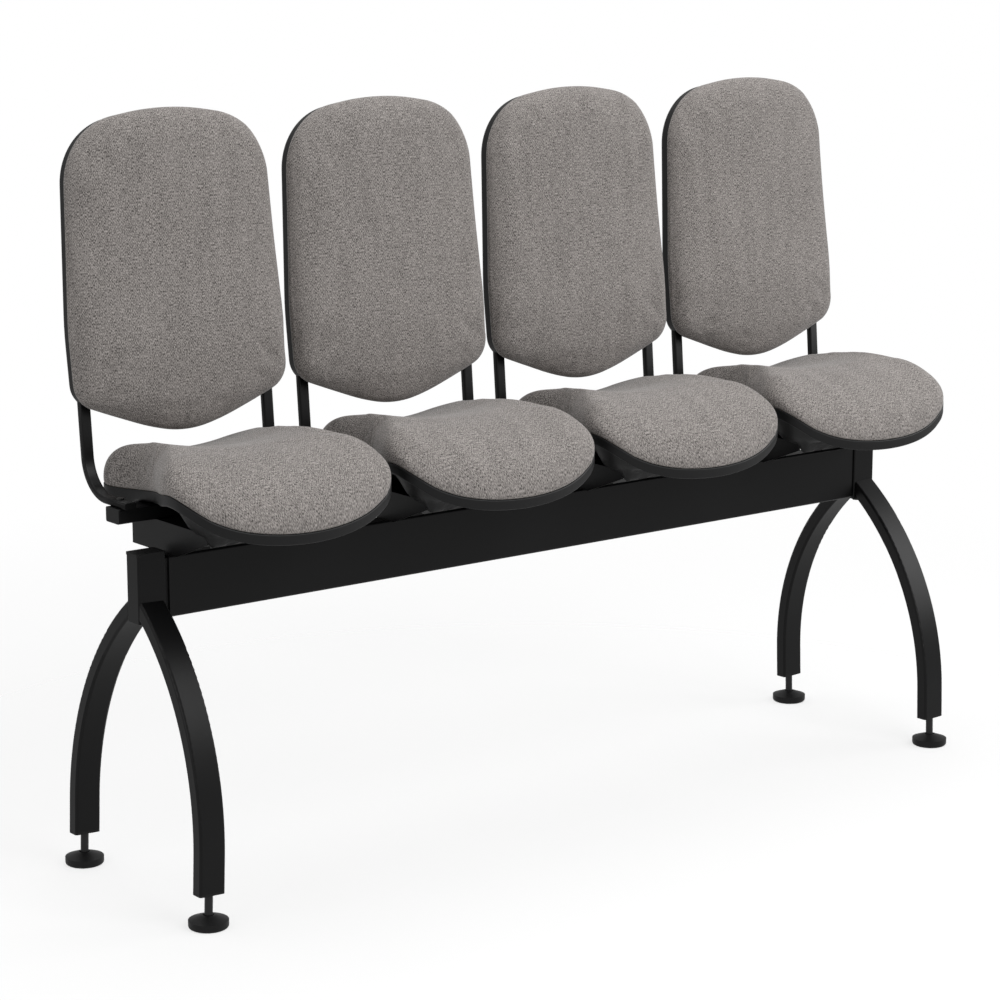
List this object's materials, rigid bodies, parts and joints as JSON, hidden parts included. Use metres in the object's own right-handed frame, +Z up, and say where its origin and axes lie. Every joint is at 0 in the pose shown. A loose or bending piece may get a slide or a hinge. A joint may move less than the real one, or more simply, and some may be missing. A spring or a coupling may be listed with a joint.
{
  "type": "beam seating",
  "caption": "Row of upholstered seats with tall separate backs on one steel beam, held by arched leg pairs with levelling feet.",
  "frame": {"origin": "on the floor, under the middle of the bench's overall box", "axes": "+X along the beam, to the right when the bench is seen from the front; -Y is the side a sitter faces; +Z up"},
  "size_m": [1.5138, 0.4236, 1.1263],
  "materials": {
    "upholstery": "woven melange",
    "plywood": "raw",
    "shell_plastic": "satin moulded",
    "black_steel": "satin powder coat",
    "trim_plastic": "satin",
    "foot_plastic": "satin",
    "stem_steel": "blackened",
    "screw_steel": "blackened"
  },
  "bodies": {
    "bench": {"seat_cushion_1": "upholstery", "back_cushion_1": "upholstery", "seat_board_1": "plywood", "back_board_1": "plywood", "seat_shell_1": "shell_plastic", "back_shell_1": "shell_plastic", "upright_left_1": "black_steel", "upright_right_1": "black_steel", "seat_bracket_1": "black_steel", "seat_cushion_2": "upholstery", "back_cushion_2": "upholstery", "seat_board_2": "plywood", "back_board_2": "plywood", "seat_shell_2": "shell_plastic", "back_shell_2": "shell_plastic", "upright_left_2": "black_steel", "upright_right_2": "black_steel", "seat_bracket_2": "black_steel", "seat_cushion_3": "upholstery", "back_cushion_3": "upholstery", "seat_board_3": "plywood", "back_board_3": "plywood", "seat_shell_3": "shell_plastic", "back_shell_3": "shell_plastic", "upright_left_3": "black_steel", "upright_right_3": "black_steel", "seat_bracket_3": "black_steel", "seat_cushion_4": "upholstery", "back_cushion_4": "upholstery", "seat_board_4": "plywood", "back_board_4": "plywood", "seat_shell_4": "shell_plastic", "back_shell_4": "shell_plastic", "upright_left_4": "black_steel", "upright_right_4": "black_steel", "seat_bracket_4": "black_steel", "beam": "black_steel", "left_head": "black_steel", "right_head": "black_steel", "head_caps": "trim_plastic", "leg_plugs": "trim_plastic", "bar_plugs": "trim_plastic", "leg_left_front": "black_steel", "leg_left_rear": "black_steel", "leg_right_front": "black_steel", "leg_right_rear": "black_steel", "head_bolts": "screw_steel", "bracket_bolts": "screw_steel", "seat_screws": "screw_steel", "upright_bolts": "screw_steel", "back_screws": "screw_steel"},
    "foot_left_front": {"foot_stem_left_front": "stem_steel", "foot_disc_left_front": "foot_plastic"},
    "foot_left_rear": {"foot_stem_left_rear": "stem_steel", "foot_disc_left_rear": "foot_plastic"},
    "foot_right_front": {"foot_stem_right_front": "stem_steel", "foot_disc_right_front": "foot_plastic"},
    "foot_right_rear": {"foot_stem_right_rear": "stem_steel", "foot_disc_right_rear": "foot_plastic"}
  },
  "joints": [
    {"name": "level_left_front", "type": "slide", "parent": "bench", "child": "foot_left_front", "axis": [-0.0366, 0, -0.9993], "range_m": [-0.02, 0.015]},
    {"name": "level_left_rear", "type": "slide", "parent": "bench", "child": "foot_left_rear", "axis": [-0.0366, 0, -0.9993], "range_m": [-0.02, 0.015]},
    {"name": "level_right_front", "type": "slide", "parent": "bench", "child": "foot_right_front", "axis": [0.0366, 0, -0.9993], "range_m": [-0.02, 0.015]},
    {"name": "level_right_rear", "type": "slide", "parent": "bench", "child": "foot_right_rear", "axis": [0.0366, 0, -0.9993], "range_m": [-0.02, 0.015]}
  ]
}
